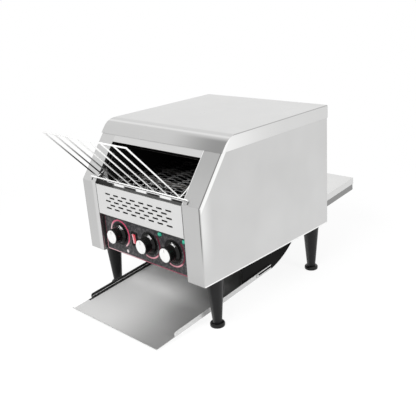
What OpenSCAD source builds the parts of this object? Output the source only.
// Countertop conveyor toaster with a wire mesh belt, a tilted feed rack at the front,
// a curved return chute under the body and a toast tray that draws out at the front.
// X is across the machine, the front faces -Y, and Z = 0 is the counter.

/* [Body] */
// Width across the top cover
body_w = 365; // [345:1:390]
// Depth from the front face to the rear skirt of the cover
body_d = 417; // [412:1:440]
// Height of the legs under the body
leg_h = 109.5; // [95:0.5:125]
// Height of the control panel, from the underside up to the vent plate
panel_tall = 90.5; // [78:0.5:105]
// Height of the vent plate, up to the fold where the front starts to slope back
vent_tall = 70; // [60:1:82]
// Height of the feed opening over that fold
feed_tall = 77; // [66:1:90]
// Height of the header strip between the opening and the cover
header_tall = 13; // [10:1:20]
// Slope of the upper front, in degrees from level
front_slope = 52.4; // [51:0.1:54]
// Radius of the rounded front edge of the top cover
nose_r = 44; // [30:1:48]
// Height of the cover's skirt
skirt_h = 28; // [22:1:32]
// Thickness of the sheet metal
sheet_t = 1.2; // [0.8:0.1:1.5]
// Outside radius of the folded front edges
fold_r = 3.5; // [2.5:0.5:6]

/* [Front] */
// Width of each front pillar
pillar_w = 48.5; // [42:0.5:56]
// Length of one vent slot
slot_len = 17; // [12:0.5:18]
// Width of one vent slot
slot_w = 3.5; // [2:0.5:4]
// Distance between neighbouring vent slots
slot_pitch = 27.1; // [25:0.1:29]
// Rows of vent slots
vent_rows = 5; // [3:1:6]
// Vent slots in the longer rows
row_slots = 8; // [6:1:9]
// Depth of the control panel behind the front face
panel_recess = 8.5; // [6:0.5:12]
// Thickness of the control panel
panel_t = 1.5; // [1:0.1:2]

/* [Controls] */
// Height of the knobs above the panel's lower edge
knob_up = 50.5; // [46:0.5:60]
// Radius of a knob's skirt
knob_skirt_r = 21; // [18:0.5:22]
// Radius of a knob's grip
knob_grip_r = 16.3; // [14:0.1:17.5]
// Length of a knob in front of the panel
knob_len = 24.5; // [22:0.5:32]
// Radius of the bright cap on a knob
knob_cap_r = 14.8; // [12:0.1:15.5]
// Radius of a control spindle
spindle_r = 3; // [2.5:0.1:3.5]
// Place of the speed knob, as a share of half the panel
speed_share = -0.582; // [-0.6:0.001:-0.56]
// Place of the upper heat knob, as a share of half the panel
upper_share = 0.129; // [0.11:0.001:0.15]
// Place of the lower heat knob, as a share of half the panel
lower_share = 0.666; // [0.65:0.001:0.68]
// Distance of the indicator lamps below the vent plate
lamp_down = 10.5; // [8:0.5:13]
// Radius of an indicator lamp
lamp_r = 5; // [4:0.5:6]

/* [Belt] */
// Distance between neighbouring strands of the belt
belt_pitch = 14; // [13:0.5:15]
// Space between the belt's edge and the pillar's edge
belt_side_gap = 8; // [6:0.5:12]
// Least distance of the rear shaft from the rear panel
belt_rear_gap = 75; // [70:1:90]
// Diameter of the belt's wire
belt_wire_d = 1.5; // [1.2:0.1:1.6]
// Distance of the front shaft behind the front face
idler_y = 58; // [56:1:62]
// Radius of the two belt shafts
shaft_r = 5; // [4:0.5:6]

/* [Heating] */
// Radius of a quartz heater tube
heater_r = 6; // [5:0.5:6.5]
// Distance of the upper heaters below the top of the feed opening
upper_heater_down = 25; // [20:1:32]
// Distance of the outer heaters from the belt's shafts
heater_end_gap = 68; // [58:1:76]

/* [Feed rack] */
// Tilt of the feed rack, in degrees from level
rack_tilt = 47; // [44:1:50]
// Length of the feed rack in front of its pivot
rack_len = 165; // [140:1:180]
// Space between the rack's outer wires and the pillars' edges
rack_side_gap = 6.5; // [5.5:0.5:9]
// Diameter of the rack's wire
rack_wire_d = 3; // [2.5:0.1:3.2]
// Number of slanting wires
rack_wires = 8; // [6:1:10]

/* [Toast tray and chute] */
// Slope of the toast tray, in degrees
tray_slope = 5.5; // [5:0.1:6]
// How far the toast tray's sides stand outside the feed opening's
tray_over = 2; // [1.5:0.1:3]
// Reach of the toast tray in front of the body
tray_reach = 95; // [80:1:110]
// Height of the tray's side walls
tray_wall_h = 11; // [10:0.5:14]
// How far the tray draws out
tray_travel = 40; // [20:1:42]
// Radius of the chute's curve
chute_r = 170; // [150:1:185]

/* [Rear shelf] */
// Length of the shelf behind the body
shelf_len = 122; // [90:1:140]
// Distance of the shelf's edges from the body's sides
shelf_side_gap = 6.5; // [4:0.5:20]
// Height of the shelf's top above the body's underside
shelf_up = 65.5; // [60:0.5:80]

/* [Legs] */
// Radius of a leg at its top
leg_top_r = 18; // [15:0.5:19]
// Radius of a leg at its neck
leg_neck_r = 9.8; // [8:0.1:12]
// Radius of a foot
foot_r = 15.6; // [13:0.1:18]

/* [Hidden] */
$fn = 48;

// Clearances
run_gap = 0.05;
seat_gap = 0.3;
press_gap = 0.02;

// Heights above the counter
panel_low = leg_h + 4.5;
vent_low_h = leg_h + panel_tall;
knee_h = vent_low_h + vent_tall;
header_h = knee_h + feed_tall;
skirt_low = header_h + header_tall;
body_h = skirt_low + skirt_h;

// Shell
side_x = body_w / 2 - sheet_t;
side_in = side_x - sheet_t;
opening_w = body_w - 2 * pillar_w;
pillar_x = opening_w / 2;
rear_y = body_d - sheet_t;
return_d = 9;
slope_dir = [cos(front_slope), sin(front_slope)];
slope_in = [sin(front_slope), -cos(front_slope)];
wall_gap = 2;
wall_x = pillar_x + wall_gap;
wall_front = 14;
wall_out = wall_x + sheet_t;

// Belt drive
teeth = 10;
tooth_angle = 360 / teeth;
tooth_root_a = 12;
tooth_tip_a = 4;
wrapped = teeth / 2 - 1;
belt_r = belt_pitch / (2 * sin(180 / teeth));
belt_h = knee_h;
shaft_z = belt_h - belt_r;
belt_gaps = floor((rear_y - belt_rear_gap - idler_y) / belt_pitch);
drive_y = idler_y + belt_gaps * belt_pitch;
belt_w = opening_w - 2 * belt_side_gap;
wave_parts = 11;
wave_len = belt_w / wave_parts;
wave_lean = 2.4;
wave_lift = 1;
wave_reach = belt_pitch + 1.4 * belt_wire_d;
sprocket_t = 4;
sprocket_xs = [for (i = [-5, -1, 1, 5]) i * wave_len];
bush_r = 9;
motor_r = 30;
motor_x = wall_out + 2;
gearbox_len = 22;
motor_end = side_in - 5;

// Heaters
heater_ys = [idler_y + heater_end_gap, (idler_y + drive_y) / 2, drive_y - heater_end_gap];
upper_heater_h = header_h - upper_heater_down;
heater_half = wall_x + 16;
end_cap_r = heater_r + 2;
end_cap_len = 8;
heater_pin_len = 6;
heater_pin_r = 2;

// Electrical bay
bay_floor = leg_h + sheet_t;
ledge_h = shaft_z - belt_r - 18.7;
drop_len = 115.8;
bay_rear_y = rear_y - drop_len;
panel_back = panel_recess + panel_t;
controller = [52, 30, 42];
regulator = [42, 36, 40];
block = [70, 22, 20];
fan_x = wall_x - 66;
fan_y = bay_rear_y - 85;
fan_bore_r = 37;
fan_side = 80;
fan_t = 25;
fan_hub_r = 16.5;
fan_pin_r = 2;

// Controls
knob_h = leg_h + knob_up;
lamp_h = vent_low_h - lamp_down;
speed_knob_x = speed_share * pillar_x;
upper_knob_x = upper_share * pillar_x;
lower_knob_x = lower_share * pillar_x;
rocker_x = (speed_knob_x + upper_knob_x) / 2 + 0.65;
rocker_h = knob_h - 1.5;
lamp_xs = [upper_knob_x + 36.8, pillar_x - 9.5];
rocker_w = 13.5;
rocker_tall = 28;
rocker_rim = 1.8;
rocker_wall = 1.2;
spindle_in = 12;
knob_bore_end = knob_len - 8;

// Feed rack, pivoting on its cross wire
rack_w = opening_w - 2 * rack_side_gap;
rack_y = 1;
rack_z = knee_h + 12;
wire_r = rack_wire_d / 2;
joint_r = wire_r + 0.1;
rack_lift = 2.4;
rack_hook_x = pillar_x + 14;
rack_fold = 35;
arm_x = rack_w / 2;
arm_r = 95;
arm_start = 16.6;
rack_off = -(rack_y * slope_in[0] + (rack_z - knee_h) * slope_in[1]);
rack_along = rack_y * slope_dir[0] + (rack_z - knee_h) * slope_dir[1];

// Each side arm is an arc whose tip lies a seat's gap behind the return of the pillar
arm_c = [rack_y - arm_r * sin(arm_start), rack_z + arm_r * cos(arm_start)];
arm_c_depth = arm_c[0] * slope_in[0] + (arm_c[1] - knee_h) * slope_in[1];
arm_end = front_slope + acos((return_d + seat_gap + joint_r - arm_c_depth) / arm_r);

// Toast tray
tray_y = -tray_reach;
tray_z = 4.6;
tray_half = pillar_x + tray_over;
function tray_floor(y) = tray_z + sheet_t + (y - tray_y) * tan(tray_slope);

// Chute, whose front end lies just over the tray's floor
chute_out = chute_r + sheet_t;
chute_rear_gap = 21.3;
chute_y = rear_y - chute_rear_gap - chute_r;
chute_end = 9;
chute_gap = 0.7;
chute_meet = chute_y + chute_out * sin(chute_end);
chute_z = tray_floor(chute_meet) + chute_gap + chute_out * cos(chute_end);
cheek_gap = 1.2;
cheek_x = tray_half - sheet_t - cheek_gap;
cheek_front = chute_meet - 91.7;
drop_rear = chute_y + sqrt(pow(chute_out, 2) - pow(chute_z - leg_h, 2)) + 1;
drop_front = bay_rear_y + sheet_t + 8;

// The tray reaches under the chute, and its slots end at studs in the cheeks
tray_lap = 6.7;
tray_len = (chute_meet - tray_y) / cos(tray_slope) + tray_lap;
rim_from = chute_meet + tray_lap + 1.5;
cheek_rim = 5;
stud_r = 2;
stud_along = tray_len - tray_travel - 10;
stud_up = tray_wall_h / 2 + 0.6;

// Shelf
shelf_w = body_w - 2 * shelf_side_gap;
shelf_h = leg_h + shelf_up;
shelf_skirt = 15.5;
shelf_t = 30.5;
shelf_inset = sheet_t + seat_gap;

// Rear fittings
gland_x = 30 - side_in;
gland_z = leg_h + 20.5;
gland_r = 9;
gland_bore_r = 4.5;
screw_r = 2;
screw_head_r = 3.8;
rear_vent_x = side_in - 30;
rear_vent_z = knee_h - 8;
rear_vent_pitch = 5.6;
screw_pts = [for (s = [-1, 1]) each [[s * (side_in - 8), knee_h - 55], [s * (side_in - 8), knee_h + 60],
    [s * side_in / 2, skirt_low - 10], [s * (side_in - 70), leg_h + 8.5]]];

// Legs
leg_x = side_x - leg_top_r - 2.3;
leg_ys = [47, rear_y - 37.8];
foot_t = 9;
bolt_r = 4;
bolt_in = 24;
bolt_hole = 30;

// The middle of the whole depth, rack and shelf included, lies over the origin
front_reach = rack_y - rack_len * cos(rack_tilt) + rack_lift * sin(rack_tilt) - joint_r;
rear_reach = rear_y + shelf_len * cos(tray_slope) + shelf_skirt * sin(tray_slope);
y_mid = (front_reach + rear_reach) / 2;

// Puts a piece drawn in the body's frame, with Y = 0 at the front face, in its place
module place() {
    translate([0, -y_mid, 0]) children();
}

// Extrudes an outline drawn in (Y, Z) along X
module along_x(x0, x1) {
    translate([x0, 0, 0]) rotate([90, 0, 90]) linear_extrude(height = x1 - x0) children();
}

// Turns a shape drawn along +Z so that it points to the front
module to_front() {
    rotate([90, 0, 0]) children();
}

// A slot with round ends, centred, along X
module slot_2d(len, w) {
    square([len - w, w], center = true);
    for (s = [-1, 1])
        translate([s * (len - w) / 2, 0]) circle(d = w, $fn = 24);
}

// Points of the front line of the body, pushed d into the body
function knee_pt(d) = [d, knee_h - d * tan((90 - front_slope) / 2)];
function slope_pt(d, z) = [(z - knee_h) / tan(front_slope) + d / sin(front_slope), z];

// Strip of the front between two depths, from the underside up to height zt
module front_band(d0, d1, zt, zb = leg_h) {
    polygon([[d0, zb], knee_pt(d0), slope_pt(d0, zt), slope_pt(d1, zt), knee_pt(d1), [d1, zb]]);
}

// Strip of the sloped part of the front alone, between two heights
module slope_band(d0, d1, z0, z1) {
    polygon([slope_pt(d0, z0), slope_pt(d0, z1), slope_pt(d1, z1), slope_pt(d1, z0)]);
}

// Side outline of the body, pushed d inside the front face of the pillars
module body_outline(d, low) {
    top = body_h - sheet_t - d;
    r = nose_r - sheet_t - d;
    corner = slope_pt(d, top);
    run = r * tan(front_slope / 2);
    t1 = corner - run * slope_dir;
    t2 = corner + [run, 0];
    c = t2 - [0, r];
    start = low < knee_h ? [[d, low], knee_pt(d)] : [slope_pt(d, low)];
    difference() {
        polygon(concat(start, [corner, [rear_y - d, top], [rear_y - d, low]]));
        difference() {
            polygon([c, t1 - slope_in, corner + [0, 2] - 2 * slope_in, t2 + [0, 1]]);
            translate(c) circle(r = r, $fn = 96);
        }
    }
}

// What lies outside a quarter circle, in the square corner round it
module corner_2d(r, side) {
    difference() {
        square([side, side]);
        circle(r = r);
    }
}

// Cuts the sharp edge between a side and the front down to a fold of radius fold_r - d
module fold_cutter(d) {
    c = side_x - fold_r;
    k = knee_pt(fold_r);
    translate([c, fold_r, 0]) fold_corner(fold_r - d, knee_h + fold_r);
    translate([c, k[0], k[1]]) rotate([front_slope - 90, 0, 0])
        translate([0, 0, -fold_r]) fold_corner(fold_r - d, 2 * skirt_low);
}

module fold_corner(r, len) {
    linear_extrude(height = len) mirror([0, 1]) corner_2d(r, 2 * fold_r);
}

// Outer panels. A side sheet folds round into a front pillar with a narrow return.
module side_panel() {
    zt = skirt_low + 8;
    top = body_h - fold_r - seat_gap;
    difference() {
        union() {
            difference() {
                along_x(pillar_x, side_x) body_outline(0, leg_h);
                translate([pillar_x, -1, top]) cube([side_x, body_d, body_h]);
                fold_cutter(0);
                difference() {
                    along_x(pillar_x - 1, side_in) polygon([[sheet_t, leg_h - 1], knee_pt(sheet_t),
                        slope_pt(sheet_t, zt), slope_pt(-nose_r, zt), [-nose_r, body_h + 1],
                        [body_d + 1, body_h + 1], [body_d + 1, leg_h - 1]]);
                    fold_cutter(sheet_t);
                }
            }
            along_x(pillar_x, pillar_x + sheet_t) front_band(sheet_t / 2, return_d, zt);
        }
        rack_hook_slot();
    }
}

// The slot in the pillar that the rack's hook hangs in and swings through
module rack_hook_slot() {
    up = wire_r + seat_gap;
    down = (rack_off + sheet_t) * tan(rack_fold) + wire_r / cos(rack_fold) + seat_gap;
    w = 2 * (wire_r + seat_gap);
    translate([rack_hook_x, rack_along * slope_dir[0], knee_h + rack_along * slope_dir[1]])
        rotate([front_slope, 0, 0])
            translate([0, (up - down) / 2, -sheet_t - 1])
                linear_extrude(height = sheet_t + 2) rotate(90) slot_2d(up + down, w);
}

module right_side_panel() {
    color("gainsboro") place() side_panel();
}

module left_side_panel() {
    color("gainsboro") place() mirror([1, 0, 0]) side_panel();
}

// Front view of the cover, with its long edges folded and not sharp
module cover_front(d) {
    half = body_w / 2 - d;
    top = body_h - d;
    difference() {
        translate([-half, 0]) square([2 * half, top]);
        for (s = [0, 1]) mirror([s, 0])
            translate([half - fold_r + d, top - fold_r + d]) corner_2d(fold_r - d, fold_r);
    }
}

module cover_form(d, low) {
    intersection() {
        along_x(-body_w / 2 - 1, body_w / 2 + 1) body_outline(d - sheet_t, low);
        translate([0, body_d + 1, 0]) to_front() linear_extrude(height = body_d + 2) cover_front(d);
    }
}

module top_cover() {
    color("whitesmoke") place() difference() {
        cover_form(0, skirt_low);
        cover_form(sheet_t, skirt_low - 1);
    }
}

module base_plate() {
    flange = 12;
    front = panel_back + 6;
    back = rear_y - sheet_t;
    fan_slot_pitch = 8;
    color("silver") place() difference() {
        union() {
            translate([-side_in, front, leg_h]) cube([2 * side_in, back - front, sheet_t]);
            for (s = [0, 1]) mirror([s, 0, 0])
                translate([side_in - sheet_t, front, leg_h]) cube([sheet_t, back - front, flange]);
        }
        translate([-wall_x, drop_front, leg_h - 1])
            cube([2 * wall_x, drop_rear - drop_front, sheet_t + 2]);
        for (s = [-1, 1], y = leg_ys)
            translate([s * leg_x, y, leg_h - 1]) cylinder(r = bolt_r + press_gap, h = sheet_t + 2);
        for (i = [-4:4])
            translate([fan_x, fan_y + i * fan_slot_pitch, leg_h - 1]) linear_extrude(height = sheet_t + 2)
                slot_2d(2 * sqrt(pow(fan_bore_r, 2) - pow(i * fan_slot_pitch, 2)), fan_slot_pitch / 2);
    }
}

module rear_panel() {
    color("gainsboro") place() difference() {
        translate([-side_in, rear_y - sheet_t, leg_h])
            cube([2 * side_in, sheet_t, body_h - sheet_t - leg_h]);
        translate([0, rear_y + 1, 0]) to_front() linear_extrude(height = sheet_t + 2) {
            for (s = [-1, 1], i = [-4:4])
                translate([s * rear_vent_x + i * rear_vent_pitch, rear_vent_z]) rotate(90) slot_2d(46, 2.6);
            translate([gland_x, gland_z]) circle(r = gland_r + press_gap);
        }
        for (p = screw_pts)
            translate([p[0], rear_y + 1, p[1]]) to_front()
                cylinder(r = screw_r + press_gap, h = sheet_t + 2);
    }
}

// Strip of steel over the feed opening, turned in at its lower edge
module front_header() {
    top = skirt_low + 8;
    lip = 14;
    low = slope_pt(0, header_h);
    color("white") place() along_x(-pillar_x, pillar_x)
        polygon([slope_pt(0, top), low, low + lip * slope_in, low + lip * slope_in + sheet_t * slope_dir,
                 low + sheet_t * (slope_in + slope_dir), slope_pt(sheet_t, top)]);
}

// Vent plate, whose face leaves a seam beside each pillar and whose flanges reach them
module vent_plate() {
    top = knee_h - 3;
    row_top = knee_h - 20;
    row_pitch = 8;
    seam = 1.6;
    color("gainsboro") place() difference() {
        union() {
            translate([seam - pillar_x, 0, vent_low_h])
                cube([opening_w - 2 * seam, sheet_t, top - vent_low_h]);
            for (flange = [[vent_low_h, panel_back], [top - sheet_t, wall_front]])
                translate([-pillar_x, sheet_t / 2, flange[0]])
                    cube([opening_w, flange[1] - sheet_t / 2, sheet_t]);
        }
        translate([0, sheet_t + 1, 0]) to_front() linear_extrude(height = sheet_t + 2)
            for (i = [0:vent_rows - 1]) {
                count = row_slots - i % 2;
                for (k = [0:count - 1])
                    translate([(k - (count - 1) / 2) * slot_pitch, row_top - i * row_pitch])
                        slot_2d(slot_len, slot_w);
            }
    }
}

// Ramp from the rack's pivot down to the belt, with a fold that stands on the vent plate
module entry_ramp() {
    top = knee_h + 7;
    front = 5;
    foot = knee_h - 3;
    ramp_t = 1.4;
    fall = 0.5;
    back = idler_y - belt_r - 5;
    drop = (back - front) * fall;
    color("silver") place() along_x(-pillar_x, pillar_x)
        polygon([[front, foot], [front, top], [back, top - drop], [back, top - drop - ramp_t],
                 [front + sheet_t, top - sheet_t * fall - ramp_t], [front + sheet_t, foot]]);
}

// Controls
module control_panel() {
    color("dimgray") place() difference() {
        translate([-pillar_x, panel_recess, panel_low])
            cube([opening_w, panel_t, vent_low_h - panel_low]);
        for (x = [speed_knob_x, upper_knob_x, lower_knob_x])
            translate([x, panel_back + 1, knob_h]) to_front()
                cylinder(r = spindle_r + 0.5, h = panel_t + 2);
        for (x = lamp_xs)
            translate([x, panel_back + 1, lamp_h]) to_front()
                cylinder(r = lamp_r - 1 + press_gap, h = panel_t + 2);
        translate([rocker_x - rocker_w / 2, panel_recess - 1, rocker_h - rocker_tall / 2])
            cube([rocker_w, panel_t + 2, rocker_tall]);
    }
}

// A knob stands in front of the panel on its spindle, drawn along +Z
module knob_form() {
    foot = 0.4;
    skirt = 3;
    rotate_extrude($fn = 72) polygon([
        [spindle_r + press_gap, foot], [knob_skirt_r - 0.8, foot], [knob_skirt_r, foot + 0.8],
        [knob_skirt_r, foot + skirt], [knob_skirt_r - 1.2, foot + skirt + 0.8],
        [knob_grip_r + 1, foot + skirt + 2.4], [knob_grip_r + 0.4, foot + skirt + 6],
        [knob_grip_r, knob_len - 3], [knob_grip_r - 0.6, knob_len - 0.8],
        [knob_cap_r + 0.4, knob_len - 0.3], [knob_cap_r + 0.1, knob_len - 0.6],
        [knob_cap_r + 0.1, knob_len - 2], [0, knob_len - 2], [0, knob_bore_end],
        [spindle_r + press_gap, knob_bore_end]
    ]);
}

module knob_at(x) {
    color("black") place() translate([x, panel_recess, knob_h]) to_front() knob_form();
}

module cap_at(x) {
    color("white") place() translate([x, panel_recess, knob_h]) to_front()
        translate([0, 0, knob_len - 2]) rotate_extrude($fn = 72)
            polygon([[0, 0], [knob_cap_r, 0], [knob_cap_r, 1.6], [knob_cap_r - 0.8, 2.2], [0, 2.4]]);
}

module spindle_at(x) {
    color("silver") place() translate([x, panel_back + spindle_in, knob_h]) to_front()
        cylinder(r = spindle_r, h = panel_t + spindle_in + knob_bore_end - 0.4);
}

module speed_knob() { knob_at(speed_knob_x); }
module upper_heat_knob() { knob_at(upper_knob_x); }
module lower_heat_knob() { knob_at(lower_knob_x); }
module speed_knob_cap() { cap_at(speed_knob_x); }
module upper_heat_knob_cap() { cap_at(upper_knob_x); }
module lower_heat_knob_cap() { cap_at(lower_knob_x); }
module speed_spindle() { spindle_at(speed_knob_x); }
module upper_heat_spindle() { spindle_at(upper_knob_x); }
module lower_heat_spindle() { spindle_at(lower_knob_x); }

module rocker_box(side, y0, y1) {
    translate([rocker_x - rocker_w / 2 - side, y0, rocker_h - rocker_tall / 2 - side])
        cube([rocker_w + 2 * side, y1 - y0, rocker_tall + 2 * side]);
}

module rocker_bezel() {
    depth = 14;
    color("black") place() difference() {
        union() {
            rocker_box(rocker_rim, panel_recess - 2, panel_recess);
            rocker_box(-0.1, panel_recess, panel_recess + depth);
        }
        rocker_box(-rocker_wall, panel_recess - 3, panel_recess + depth - rocker_wall);
    }
}

// The rocker turns on a pin whose axis runs across it, behind the bezel's face
module power_rocker() {
    side = rocker_w / 2 - rocker_wall - 0.5;
    half = rocker_tall / 2 - rocker_wall - 1.7;
    pin = rocker_w / 2 - rocker_wall - 0.05;
    color("red") place() translate([rocker_x, panel_recess + 3, rocker_h]) {
        along_x(-side, side)
            polygon([[-6.6, half], [-2, half], [3, 5], [5, 0], [3, -5], [-2, -half], [-4, -half],
                     [-4.6, 0]]);
        translate([-pin, 0, 0]) rotate([0, 90, 0]) cylinder(r = 1.5, h = 2 * pin);
    }
}

module indicator_lamps() {
    color("seagreen") place() for (x = lamp_xs)
        translate([x, panel_recess, lamp_h]) to_front() rotate_extrude()
            polygon([[0, -10], [lamp_r - 1, -10], [lamp_r - 1, 0], [lamp_r, 0], [lamp_r, 1.4],
                     [lamp_r * 0.8, 3.2], [lamp_r * 0.45, 4.3], [0, 4.7]]);
}

// Heating chamber
module inner_wall() {
    top = header_h - 1;
    ledge_w = 8;
    ledge_front = wall_front + 6;
    difference() {
        union() {
            along_x(wall_x, wall_x + sheet_t)
                polygon([[wall_front, bay_floor], knee_pt(wall_front), slope_pt(wall_front, top),
                         [rear_y - sheet_t, top], [rear_y - sheet_t, bay_floor]]);
            translate([wall_x - ledge_w, ledge_front, ledge_h - sheet_t])
                cube([ledge_w, bay_rear_y - ledge_front, sheet_t]);
        }
        for (y = [idler_y, drive_y]) wall_bore(y, shaft_z, bush_r + press_gap);
        for (y = heater_ys, z = [upper_heater_h, shaft_z]) wall_bore(y, z, heater_r + press_gap);
        for (i = [0:4]) let (p = slope_pt(wall_front + 7, header_h - 51 + i * 9))
            translate([wall_x - 1, p[0], p[1] - 2.5]) cube([sheet_t + 2, 6, 5]);
    }
}

module wall_bore(y, z, r) {
    translate([wall_x - 1, y, z]) rotate([0, 90, 0]) cylinder(r = r, h = sheet_t + 2);
}

module right_inner_wall() {
    color("darkgray") place() inner_wall();
}

module left_inner_wall() {
    color("darkgray") place() mirror([1, 0, 0]) inner_wall();
}

module upper_reflector() {
    z = header_h - 3;
    front = slope_pt(wall_front + 3, z)[0];
    back = drop_rear + 13;
    guard = 60;
    color("silver") place() along_x(-wall_x, wall_x) {
        translate([front, z]) square([back - front, sheet_t]);
        translate([back - sheet_t, z - guard]) square([sheet_t, guard]);
    }
}

module lower_reflector() {
    z = shaft_z - belt_pitch;
    front = idler_y + belt_r + belt_pitch;
    back = drive_y - belt_r - belt_pitch;
    color("silver") place() along_x(-wall_x, wall_x) {
        translate([front, z]) square([back - front, sheet_t]);
        for (y = [front, back - sheet_t]) translate([y, z]) square([sheet_t, 8]);
    }
}

module heater_row(z) {
    for (y = heater_ys)
        translate([-heater_half, y, z]) rotate([0, 90, 0]) cylinder(r = heater_r, h = 2 * heater_half);
}

module upper_heaters() {
    color("lightgray") place() heater_row(upper_heater_h);
}

module lower_heaters() {
    color("lightgray") place() heater_row(shaft_z);
}

module heater_end_caps() {
    color("ivory") place() for (y = heater_ys, z = [upper_heater_h, shaft_z], s = [0, 1])
        mirror([s, 0, 0]) translate([heater_half, y, z]) rotate([0, 90, 0]) {
            cylinder(r = end_cap_r, h = end_cap_len);
            cylinder(r = heater_pin_r, h = end_cap_len + heater_pin_len);
        }
}

module crumb_tray() {
    front = wall_front + 8;
    back = bay_rear_y + 40;
    wall = 9;
    half = wall_x - seat_gap;
    color("silver") place() {
        translate([-half, front, ledge_h]) cube([2 * half, back - front, sheet_t]);
        for (y = [front, back - sheet_t])
            translate([-half, y, ledge_h]) cube([2 * half, sheet_t, wall]);
        for (s = [0, 1]) mirror([s, 0, 0])
            translate([half - sheet_t, front, ledge_h]) cube([sheet_t, back - front, wall]);
    }
}

// Wall between the electrical bay and the space that the toast drops through
module bay_partition() {
    foot = 10;
    color("silver") place() {
        translate([-wall_x, bay_rear_y, bay_floor])
            cube([2 * wall_x, sheet_t, ledge_h - bay_floor]);
        translate([-wall_x, bay_rear_y - foot, bay_floor]) cube([2 * wall_x, foot, sheet_t]);
    }
}

// Drive
module shaft_bushings() {
    inner = 3;
    collar = 2;
    color("peru") place() for (s = [0, 1], y = [idler_y, drive_y])
        mirror([s, 0, 0]) translate([wall_x, y, shaft_z]) rotate([0, 90, 0]) difference() {
            union() {
                translate([0, 0, -inner]) cylinder(r = bush_r, h = sheet_t + inner);
                translate([0, 0, sheet_t]) cylinder(r = bush_r + 3, h = collar);
            }
            translate([0, 0, -inner - 1]) cylinder(r = shaft_r + run_gap, h = sheet_t + inner + collar + 2);
        }
}

module drive_motor() {
    ear_r = 5;
    can_len = motor_end - motor_x - gearbox_len;
    color("slategray") place() translate([motor_x, drive_y, shaft_z]) rotate([0, 90, 0]) {
        difference() {
            union() {
                cylinder(r = motor_r, h = gearbox_len);
                translate([0, 0, gearbox_len]) cylinder(r = motor_r - 6, h = can_len);
                for (s = [-1, 1]) translate([0, s * (motor_r + 4), -2]) {
                    cylinder(r = ear_r, h = 6);
                    translate([-ear_r, -s * 4 - 4, 2]) cube([2 * ear_r, 8, 4]);
                }
            }
            translate([0, 0, -1]) cylinder(r = shaft_r + run_gap, h = 17);
        }
    }
}

module belt_shaft(y, left, right) {
    translate([-left, y, shaft_z]) rotate([0, 90, 0]) cylinder(r = shaft_r, h = left + right);
}

// A toothed wheel whose teeth stand between the strands
module sprocket() {
    root = belt_r - wave_lift - belt_wire_d / 2 - 0.4;
    tip = belt_r + 1.6;
    corners = [[root, -tooth_root_a], [tip, -tooth_tip_a], [tip, tooth_tip_a], [root, tooth_root_a]];
    difference() {
        union() {
            linear_extrude(height = sprocket_t, center = true)
                polygon([for (k = [0:teeth - 1], p = corners)
                    let (a = (k + 0.5) * tooth_angle + p[1]) p[0] * [cos(a), sin(a)]]);
            cylinder(r = shaft_r + 4, h = 3 * sprocket_t, center = true);
        }
        cylinder(r = shaft_r + press_gap, h = 4 * sprocket_t, center = true);
    }
}

module sprockets(y) {
    for (x = sprocket_xs)
        translate([x, y, shaft_z]) rotate([0, 90, 0]) sprocket();
}

module drive_shaft() {
    color("silver") place() belt_shaft(drive_y, wall_x + 6, motor_x + 12);
}

module idler_shaft() {
    color("silver") place() belt_shaft(idler_y, wall_x + 6, wall_x + 6);
}

module drive_sprockets() {
    color("gray") place() sprockets(drive_y);
}

module idler_sprockets() {
    color("gray") place() sprockets(idler_y);
}

// Belt. Each strand is one wire bent into a wave whose crests are wider than its gaps,
// so that it hooks over the next strand. A crest passes over the next strand's corners.
// Points of a strand as [across, along the belt, up from the belt's middle plane]
wave_path = [for (i = [0:wave_parts - 1], e = [0, 1])
    let (crest = i % 2,
         x = -belt_w / 2 + (i + e) * wave_len,
         lean = (i + e == 0 || i + e == wave_parts) ? 0 : (e == 0 ? -wave_lean : wave_lean))
    [x + lean, crest * wave_reach, (2 * crest - 1) * wave_lift]];

function unit(v) = v / norm(v);
function path_dir(p, i) =
    unit((i < len(p) - 1 ? unit(p[i + 1] - p[i]) : [0, 0, 0]) + (i > 0 ? unit(p[i] - p[i - 1]) : [0, 0, 0]));

// Ring of four points round point i of a path, turned with the path
function path_ring(p, i, r) =
    let (d = path_dir(p, i), side = unit(cross([0, 0, 1], d)), up = cross(d, side),
         bend = i == 0 || i == len(p) - 1 ? 1 : 1.25)
    [p[i] + side * r * bend, p[i] + up * r, p[i] - side * r * bend, p[i] - up * r];

strand_pts = [for (i = [0:len(wave_path) - 1]) each path_ring(wave_path, i, belt_wire_d / 2)];

// Faces of a four-sided tube of n rings whose first point is number b
function tube_faces(n, b) = concat(
    [[b + 0, b + 1, b + 2], [b + 0, b + 2, b + 3]],
    [for (i = [0:n - 2], k = [0:3]) each
        let (a = b + 4 * i + k, c = b + 4 * i + (k + 1) % 4) [[a, a + 4, c], [c, a + 4, c + 4]]],
    [[b + 4 * n - 4, b + 4 * n - 2, b + 4 * n - 3], [b + 4 * n - 4, b + 4 * n - 1, b + 4 * n - 2]]);

// Strands at a list of places [y, z, angle of travel from +Y]
module strands(places) {
    n = len(wave_path);
    m = len(strand_pts);
    polyhedron(
        points = [for (s = places, p = strand_pts)
            [p[0], s[0] + p[1] * cos(s[2]) - p[2] * sin(s[2]), s[1] + p[1] * sin(s[2]) + p[2] * cos(s[2])]],
        faces = [for (j = [0:len(places) - 1]) each tube_faces(n, j * m)]);
}

// Place of the strand that stands k teeth behind the angle from, on the wheels at y
function wrap_place(y, from, k) =
    let (a = from - k * tooth_angle)
    [y + belt_r * cos(a), shaft_z + belt_r * sin(a), a - 90 - tooth_angle / 2];

module belt_upper_run() {
    color("lightgray") place()
        strands([for (k = [0:belt_gaps - 1]) [idler_y + k * belt_pitch, belt_h, 0]]);
}

module belt_lower_run() {
    color("lightgray") place()
        strands([for (k = [0:belt_gaps - 1]) [drive_y - k * belt_pitch, shaft_z - belt_r, 180]]);
}

module belt_rear_wrap() {
    color("lightgray") place() strands([for (k = [0:wrapped - 1]) wrap_place(drive_y, 90, k)]);
}

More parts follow.
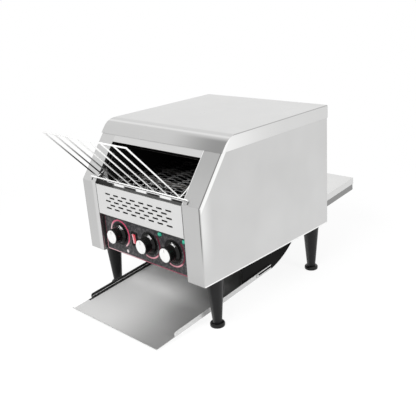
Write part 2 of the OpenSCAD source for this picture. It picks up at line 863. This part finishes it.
module belt_front_wrap() {
    color("lightgray") place() strands([for (k = [0:wrapped - 1]) wrap_place(idler_y, -90, k)]);
}

// The strand that leaves the wheels lies down onto the next run as they turn
module belt_rear_link() {
    color("lightgray") place() strands([wrap_place(drive_y, 90, wrapped)]);
}

module belt_front_link() {
    color("lightgray") place() strands([wrap_place(idler_y, -90, wrapped)]);
}

// Electrical bay
module fan_frame() {
    color("dimgray") place() translate([fan_x, fan_y, bay_floor]) {
        difference() {
            translate([-fan_side / 2, -fan_side / 2, 0]) cube([fan_side, fan_side, fan_t]);
            translate([0, 0, -1]) cylinder(r = fan_bore_r, h = fan_t + 2, $fn = 72);
        }
        difference() {
            union() {
                cylinder(r = fan_hub_r - 0.5, h = 4);
                for (a = [0:3]) rotate(45 + a * 90) translate([0, -2, 0]) cube([fan_bore_r + 1, 4, 3]);
            }
            translate([0, 0, -1]) cylinder(r = fan_pin_r + run_gap, h = 6);
        }
    }
}

module fan_rotor() {
    blades = 7;
    pitch_angle = 40;
    low = 4.4;
    tall = fan_t - low - 1.6;
    color("black") place() translate([fan_x, fan_y, bay_floor]) {
        translate([0, 0, 0.5]) cylinder(r = fan_pin_r, h = 10);
        translate([0, 0, low]) cylinder(r = fan_hub_r, h = tall);
        intersection() {
            translate([0, 0, low + 0.6]) cylinder(r = fan_bore_r - 1, h = tall - 1.2);
            for (k = [0:blades - 1]) rotate(k * 360 / blades)
                translate([fan_bore_r / 2 + 8, 0, low + tall / 2]) rotate([pitch_angle, 0, 0])
                    cube([fan_bore_r - 8, 1.6, 3 * tall], center = true);
        }
    }
}

module terminal_block() {
    way = block[0] / 6;
    slot_wide = 8;
    color("ivory") place() translate([26 - wall_x, bay_rear_y - 50, bay_floor]) difference() {
        cube(block);
        for (i = [0:5]) translate([(i + 0.5) * way - slot_wide / 2, -1, 12])
            cube([slot_wide, block[1] + 2, block[2]]);
    }
}

module spindle_hole(x) {
    translate([x, panel_back + spindle_in + 1, knob_h]) to_front()
        cylinder(r = spindle_r + run_gap, h = spindle_in + 2);
}

module speed_controller() {
    color("darkgreen") place() difference() {
        translate([speed_knob_x - controller[0] / 2, panel_back, knob_h - 24]) cube(controller);
        spindle_hole(speed_knob_x);
    }
}

module heat_regulators() {
    color("saddlebrown") place() for (x = [upper_knob_x, lower_knob_x]) difference() {
        translate([x - regulator[0] / 2, panel_back, knob_h - 22]) cube(regulator);
        spindle_hole(x);
    }
}

// Feed rack: slanting wires on a cross wire that hooks into the pillars, with two
// curved arms whose turned-out tips stop against the pillars from inside
module rod(p, q, r) {
    d = q - p;
    translate(p) rotate([0, acos(d[2] / norm(d)), atan2(d[1], d[0])]) cylinder(r = r, h = norm(d), $fn = 24);
}

function rack_pt(x, v, w) = [x, rack_y - v * cos(rack_tilt) + w * sin(rack_tilt),
    rack_z + v * sin(rack_tilt) + w * cos(rack_tilt)];

module feed_rack() {
    gap = rack_w / (rack_wires - 1);
    hook = rack_off + sheet_t + 3;
    edge = rack_w / 2 + wire_r + 0.2;
    tip = arm_c + arm_r * [sin(arm_end), -cos(arm_end)];
    color("white") place() {
        for (i = [0:rack_wires - 1])
            rod(rack_pt(-rack_w / 2 + i * gap, -3, rack_lift),
                rack_pt(-rack_w / 2 + i * gap, rack_len, rack_lift), wire_r);
        rod(rack_pt(-edge, rack_len, rack_lift), rack_pt(edge, rack_len, rack_lift), joint_r);
        rod([-rack_hook_x - wire_r, rack_y, rack_z], [rack_hook_x + wire_r, rack_y, rack_z], joint_r);
        for (s = [-1, 1]) {
            rod([s * rack_hook_x, rack_y, rack_z],
                [s * rack_hook_x, rack_y + hook * slope_in[0], rack_z + hook * slope_in[1]], wire_r);
            translate([s * arm_x, arm_c[0], arm_c[1]]) rotate([90, 0, 90])
                rotate([0, 0, arm_start - 90]) rotate_extrude(angle = arm_end - arm_start, $fn = 144)
                    translate([arm_r, 0]) circle(r = wire_r, $fn = 24);
            rod([s * (arm_x - wire_r - 0.2), tip[0], tip[1]],
                [s * (pillar_x + sheet_t + 0.2), tip[0], tip[1]], joint_r);
        }
    }
}

// Chute and toast tray
module ring_2d(r0, r1) {
    difference() {
        circle(r = r1, $fn = 240);
        circle(r = r0, $fn = 240);
    }
}

module chute_sheet() {
    color("black") place() along_x(-cheek_x + sheet_t, cheek_x - sheet_t) {
        intersection() {
            translate([chute_y, chute_z]) ring_2d(chute_r, chute_out);
            translate([chute_meet, 0]) square([2 * chute_out, chute_z]);
        }
        translate([chute_y + chute_r, chute_z - sheet_t])
            square([rear_y - sheet_t - chute_y - chute_r, sheet_t]);
    }
}

// Side of the chute, whose rim stands below the sheet from behind the tray's end on
module chute_cheek() {
    floor_gap = 0.6;
    tab = 10;
    along_x(cheek_x - sheet_t, cheek_x) {
        polygon([[cheek_front, leg_h], [cheek_front, tray_floor(cheek_front) + floor_gap],
                 [chute_meet, tray_floor(chute_meet) + floor_gap], [chute_meet, leg_h]]);
        intersection() {
            translate([chute_y, chute_z]) circle(r = chute_out, $fn = 240);
            translate([chute_meet - 0.5, 0]) square([chute_out, leg_h]);
        }
        intersection() {
            translate([chute_y, chute_z]) circle(r = chute_out + cheek_rim, $fn = 240);
            translate([rim_from, 0]) square([chute_out, leg_h]);
        }
    }
    translate([cheek_x - tab, cheek_front + 8, leg_h - sheet_t])
        cube([tab, drop_front - cheek_front - 12, sheet_t]);
}

module right_chute_cheek() {
    color("black") place() chute_cheek();
}

module left_chute_cheek() {
    color("black") place() mirror([1, 0, 0]) chute_cheek();
}

// Puts a shape drawn along the tray's floor, with +Y up the slope, on the tray's slope
module on_tray() {
    translate([0, tray_y, tray_z]) rotate([tray_slope, 0, 0]) children();
}

module tray_studs() {
    color("silver") place() on_tray() for (s = [0, 1]) mirror([s, 0, 0])
        translate([cheek_x, stud_along, stud_up]) rotate([0, 90, 0]) {
            cylinder(r = stud_r, h = tray_half - cheek_x + 1);
            translate([0, 0, tray_half - cheek_x + seat_gap]) cylinder(r = 3.6, h = 1.4);
        }
}

module toast_tray() {
    lip_r = 6;
    wall_from = 46;
    slot_r = stud_r + seat_gap;
    color("lightgray") place() on_tray() {
        translate([-tray_half, 0, 0]) cube([2 * tray_half, tray_len, sheet_t]);
        along_x(-tray_half, tray_half) intersection() {
            translate([0, lip_r]) ring_2d(lip_r - sheet_t, lip_r);
            translate([-lip_r, 0]) square([lip_r, lip_r * 0.9]);
        }
        for (s = [0, 1]) mirror([s, 0, 0]) difference() {
            along_x(tray_half - sheet_t, tray_half) {
                translate([wall_from + 5, 0]) square([tray_len - wall_from - 5, tray_wall_h]);
                translate([wall_from, 0]) square([6, tray_wall_h - 5]);
                translate([wall_from + 5, tray_wall_h - 5]) circle(r = 5);
            }
            along_x(tray_half - 3, tray_half + 1) {
                translate([stud_along, stud_up]) circle(r = slot_r);
                translate([stud_along, stud_up - slot_r]) square([tray_len, 2 * slot_r]);
            }
        }
    }
}

// Rear shelf
module on_shelf() {
    translate([0, rear_y, shelf_h]) rotate([tray_slope, 0, 0]) children();
}

module shelf_cut() {
    intersection() {
        children();
        translate([-body_w, rear_y, 0]) cube([2 * body_w, 2 * shelf_len, body_h]);
    }
}

module rear_shelf() {
    half = shelf_w / 2;
    color("whitesmoke") place() shelf_cut() on_shelf() difference() {
        translate([-half, -10, -shelf_skirt]) cube([shelf_w, shelf_len + 10, shelf_skirt]);
        translate([-half + sheet_t, -11, -shelf_skirt - 1])
            cube([shelf_w - 2 * sheet_t, shelf_len + 11 - sheet_t, shelf_skirt + 1 - sheet_t]);
    }
}

module rear_shelf_liner() {
    half = shelf_w / 2 - shelf_inset;
    length = shelf_len - shelf_inset;
    top = -sheet_t;
    color("darkgray") place() shelf_cut() on_shelf() difference() {
        translate([-half, -10, -shelf_t]) cube([2 * half, length + 10, shelf_t + top]);
        translate([-half + sheet_t, -11, -shelf_t + sheet_t])
            cube([2 * half - 2 * sheet_t, length + 11 - sheet_t, shelf_t]);
    }
}

// Rear fittings
module cord_gland() {
    nut_t = 4;
    color("black") place() translate([gland_x, rear_y - sheet_t, gland_z]) rotate([-90, 0, 0])
        difference() {
            union() {
                translate([0, 0, -8]) cylinder(r = gland_r, h = 28);
                translate([0, 0, sheet_t]) cylinder(r = gland_r + 3, h = nut_t, $fn = 6);
                translate([0, 0, -nut_t]) cylinder(r = gland_r + 3, h = nut_t, $fn = 6);
                translate([0, 0, 8]) cylinder(r = gland_r + 2, h = 12);
            }
            translate([0, 0, -9]) cylinder(r = gland_bore_r, h = 30);
        }
}

module rear_screws() {
    color("silver") place() for (p = screw_pts)
        translate([p[0], rear_y, p[1]]) rotate([-90, 0, 0]) {
            rotate_extrude() polygon([[0, 0], [screw_head_r, 0], [screw_head_r, 1], [2.6, 2.3], [0, 2.6]]);
            translate([0, 0, -8]) cylinder(r = screw_r, h = 8.5);
        }
}

// Legs
module leg(x, y) {
    translate([x, y, 0]) rotate_extrude($fn = 64) polygon([
        [0, foot_t], [leg_neck_r, foot_t], [leg_neck_r, foot_t + 3], [leg_top_r, leg_h - 3],
        [leg_top_r + 1, leg_h - 2.6], [leg_top_r + 1, leg_h], [bolt_r + press_gap, leg_h],
        [bolt_r + press_gap, leg_h - bolt_hole], [0, leg_h - bolt_hole]
    ]);
}

module legs() {
    color("black") place() for (s = [-1, 1], y = leg_ys) leg(s * leg_x, y);
}

module leg_feet() {
    color("black") place() for (s = [-1, 1], y = leg_ys)
        translate([s * leg_x, y, 0]) rotate_extrude($fn = 64) polygon([
            [0, 0], [foot_r - 1.5, 0], [foot_r - 0.3, 1], [foot_r, 2.4], [foot_r, foot_t - 3.2],
            [foot_r - 0.8, foot_t - 1.2], [foot_r - 2.6, foot_t], [0, foot_t]
        ]);
}

module leg_bolts() {
    color("silver") place() for (s = [-1, 1], y = leg_ys)
        translate([s * leg_x, y, leg_h]) {
            translate([0, 0, -bolt_in]) cylinder(r = bolt_r, h = bolt_in + 1 + sheet_t);
            translate([0, 0, sheet_t]) cylinder(r = 7.5, h = 5.5, $fn = 6);
        }
}

base_plate();
left_side_panel();
right_side_panel();
top_cover();
rear_panel();
front_header();
vent_plate();
control_panel();
entry_ramp();
left_inner_wall();
right_inner_wall();
upper_reflector();
lower_reflector();
upper_heaters();
lower_heaters();
heater_end_caps();
crumb_tray();
bay_partition();
shaft_bushings();
drive_motor();
drive_shaft();
drive_sprockets();
idler_shaft();
idler_sprockets();
belt_upper_run();
belt_rear_wrap();
belt_rear_link();
belt_lower_run();
belt_front_wrap();
belt_front_link();
speed_controller();
heat_regulators();
terminal_block();
fan_frame();
fan_rotor();
speed_spindle();
upper_heat_spindle();
lower_heat_spindle();
speed_knob();
upper_heat_knob();
lower_heat_knob();
speed_knob_cap();
upper_heat_knob_cap();
lower_heat_knob_cap();
rocker_bezel();
power_rocker();
indicator_lamps();
feed_rack();
chute_sheet();
left_chute_cheek();
right_chute_cheek();
tray_studs();
toast_tray();
rear_shelf();
rear_shelf_liner();
cord_gland();
rear_screws();
leg_bolts();
legs();
leg_feet();
